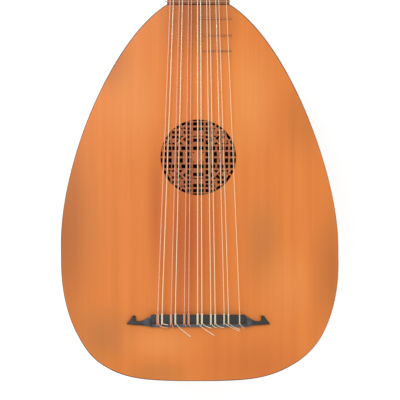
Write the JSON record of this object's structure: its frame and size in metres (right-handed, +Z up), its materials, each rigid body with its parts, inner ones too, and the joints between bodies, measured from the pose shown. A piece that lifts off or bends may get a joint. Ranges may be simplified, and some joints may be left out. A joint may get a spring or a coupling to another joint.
{
  "type": "lute",
  "caption": "Pear-shaped plucked string instrument with a ribbed round back, a carved rose, tied gut frets and a bent-back pegbox, lying on its back.",
  "frame": {"origin": "centre of the flat facet under the middle rib, which the bowl rests on", "axes": "+Y from the tail to the neck along the strings, +Z up out of the soundboard, +X from the bass strings to the treble strings"},
  "size_m": [0.3101, 0.6956, 0.1661],
  "materials": {
    "spruce": "amber varnish over fine straight grain, satin",
    "walnut": "brown varnish, satin",
    "maple": "stained and oiled, satin",
    "plum": "bare wood, oiled",
    "black_wood": "pearwood dyed black, oiled and polished",
    "bone": "polished bone, close to a smooth hard plastic",
    "gut": "clear varnished gut",
    "copper": "copper wire wound over a core",
    "rosewood": "dark brown, polished",
    "inner_wood": "bare softwood, planed"
  },
  "bodies": {
    "lute": {"soundboard": "spruce", "end_clasp": "walnut", "end_liner": "inner_wood", "neck_block": "inner_wood", "neck": "maple", "fingerboard": "plum", "nut": "bone", "bridge": "black_wood", "rib_1": "walnut", "rib_2": "walnut", "rib_3": "walnut", "rib_4": "walnut", "rib_5": "walnut", "rib_6": "walnut", "rib_7": "walnut", "rib_8": "walnut", "rib_9": "walnut", "body_fret_10": "plum", "body_fret_11": "plum", "body_fret_12": "plum", "pegbox_cheek_bass": "maple", "pegbox_cheek_treble": "maple", "pegbox_back": "maple", "pegbox_end_block": "maple", "pegbox_head_block": "maple", "string_7_bass": "copper", "string_7_octave": "gut", "string_6_bass": "copper", "string_6_octave": "gut", "string_5_a": "copper", "string_5_b": "copper", "string_4_a": "gut", "string_4_b": "gut", "string_3_a": "gut", "string_3_b": "gut", "string_2_a": "gut", "string_2_b": "gut", "string_1": "gut"},
    "peg_bass_1": {"peg_bass_1": "rosewood"},
    "peg_treble_1": {"peg_treble_1": "rosewood"},
    "peg_bass_2": {"peg_bass_2": "rosewood"},
    "peg_treble_2": {"peg_treble_2": "rosewood"},
    "peg_bass_3": {"peg_bass_3": "rosewood"},
    "peg_treble_3": {"peg_treble_3": "rosewood"},
    "peg_bass_4": {"peg_bass_4": "rosewood"},
    "peg_treble_4": {"peg_treble_4": "rosewood"},
    "peg_bass_5": {"peg_bass_5": "rosewood"},
    "peg_treble_5": {"peg_treble_5": "rosewood"},
    "peg_bass_6": {"peg_bass_6": "rosewood"},
    "peg_treble_6": {"peg_treble_6": "rosewood"},
    "peg_bass_7": {"peg_bass_7": "rosewood"},
    "tied_fret_1": {"tied_fret_1": "gut"},
    "tied_fret_2": {"tied_fret_2": "gut"},
    "tied_fret_3": {"tied_fret_3": "gut"},
    "tied_fret_4": {"tied_fret_4": "gut"},
    "tied_fret_5": {"tied_fret_5": "gut"},
    "tied_fret_6": {"tied_fret_6": "gut"},
    "tied_fret_7": {"tied_fret_7": "gut"},
    "tied_fret_8": {"tied_fret_8": "gut"},
    "tied_fret_9": {"tied_fret_9": "gut"}
  },
  "joints": [
    {"name": "peg_bass_1_turn", "type": "hinge", "parent": "lute", "child": "peg_bass_1", "pos_m": [0, 0.52247, 0.13234], "axis": [1, 0, 0], "continuous": true},
    {"name": "peg_treble_1_turn", "type": "hinge", "parent": "lute", "child": "peg_treble_1", "pos_m": [0, 0.52423, 0.12275], "axis": [1, 0, 0], "continuous": true},
    {"name": "peg_bass_2_turn", "type": "hinge", "parent": "lute", "child": "peg_bass_2", "pos_m": [0, 0.526, 0.11316], "axis": [1, 0, 0], "continuous": true},
    {"name": "peg_treble_2_turn", "type": "hinge", "parent": "lute", "child": "peg_treble_2", "pos_m": [0, 0.52776, 0.10357], "axis": [1, 0, 0], "continuous": true},
    {"name": "peg_bass_3_turn", "type": "hinge", "parent": "lute", "child": "peg_bass_3", "pos_m": [0, 0.52953, 0.09397], "axis": [1, 0, 0], "continuous": true},
    {"name": "peg_treble_3_turn", "type": "hinge", "parent": "lute", "child": "peg_treble_3", "pos_m": [0, 0.53129, 0.08438], "axis": [1, 0, 0], "continuous": true},
    {"name": "peg_bass_4_turn", "type": "hinge", "parent": "lute", "child": "peg_bass_4", "pos_m": [0, 0.53306, 0.07479], "axis": [1, 0, 0], "continuous": true},
    {"name": "peg_treble_4_turn", "type": "hinge", "parent": "lute", "child": "peg_treble_4", "pos_m": [0, 0.53482, 0.0652], "axis": [1, 0, 0], "continuous": true},
    {"name": "peg_bass_5_turn", "type": "hinge", "parent": "lute", "child": "peg_bass_5", "pos_m": [0, 0.53659, 0.0556], "axis": [1, 0, 0], "continuous": true},
    {"name": "peg_treble_5_turn", "type": "hinge", "parent": "lute", "child": "peg_treble_5", "pos_m": [0, 0.53835, 0.04601], "axis": [1, 0, 0], "continuous": true},
    {"name": "peg_bass_6_turn", "type": "hinge", "parent": "lute", "child": "peg_bass_6", "pos_m": [0, 0.54012, 0.03642], "axis": [1, 0, 0], "continuous": true},
    {"name": "peg_treble_6_turn", "type": "hinge", "parent": "lute", "child": "peg_treble_6", "pos_m": [0, 0.54188, 0.02682], "axis": [1, 0, 0], "continuous": true},
    {"name": "peg_bass_7_turn", "type": "hinge", "parent": "lute", "child": "peg_bass_7", "pos_m": [0, 0.54365, 0.01723], "axis": [1, 0, 0], "continuous": true},
    {"name": "tied_fret_1_slide", "type": "slide", "parent": "lute", "child": "tied_fret_1", "axis": [0, 1, 0], "range_m": [-0.002, 0.002]},
    {"name": "tied_fret_2_slide", "type": "slide", "parent": "lute", "child": "tied_fret_2", "axis": [0, 1, 0], "range_m": [-0.002, 0.002]},
    {"name": "tied_fret_3_slide", "type": "slide", "parent": "lute", "child": "tied_fret_3", "axis": [0, 1, 0], "range_m": [-0.002, 0.002]},
    {"name": "tied_fret_4_slide", "type": "slide", "parent": "lute", "child": "tied_fret_4", "axis": [0, 1, 0], "range_m": [-0.002, 0.002]},
    {"name": "tied_fret_5_slide", "type": "slide", "parent": "lute", "child": "tied_fret_5", "axis": [0, 1, 0], "range_m": [-0.002, 0.002]},
    {"name": "tied_fret_6_slide", "type": "slide", "parent": "lute", "child": "tied_fret_6", "axis": [0, 1, 0], "range_m": [-0.002, 0.002]},
    {"name": "tied_fret_7_slide", "type": "slide", "parent": "lute", "child": "tied_fret_7", "axis": [0, 1, 0], "range_m": [-0.002, 0.002]},
    {"name": "tied_fret_8_slide", "type": "slide", "parent": "lute", "child": "tied_fret_8", "axis": [0, 1, 0], "range_m": [-0.002, 0.002]},
    {"name": "tied_fret_9_slide", "type": "slide", "parent": "lute", "child": "tied_fret_9", "axis": [0, 1, 0], "range_m": [-0.001, 0.002]}
  ]
}
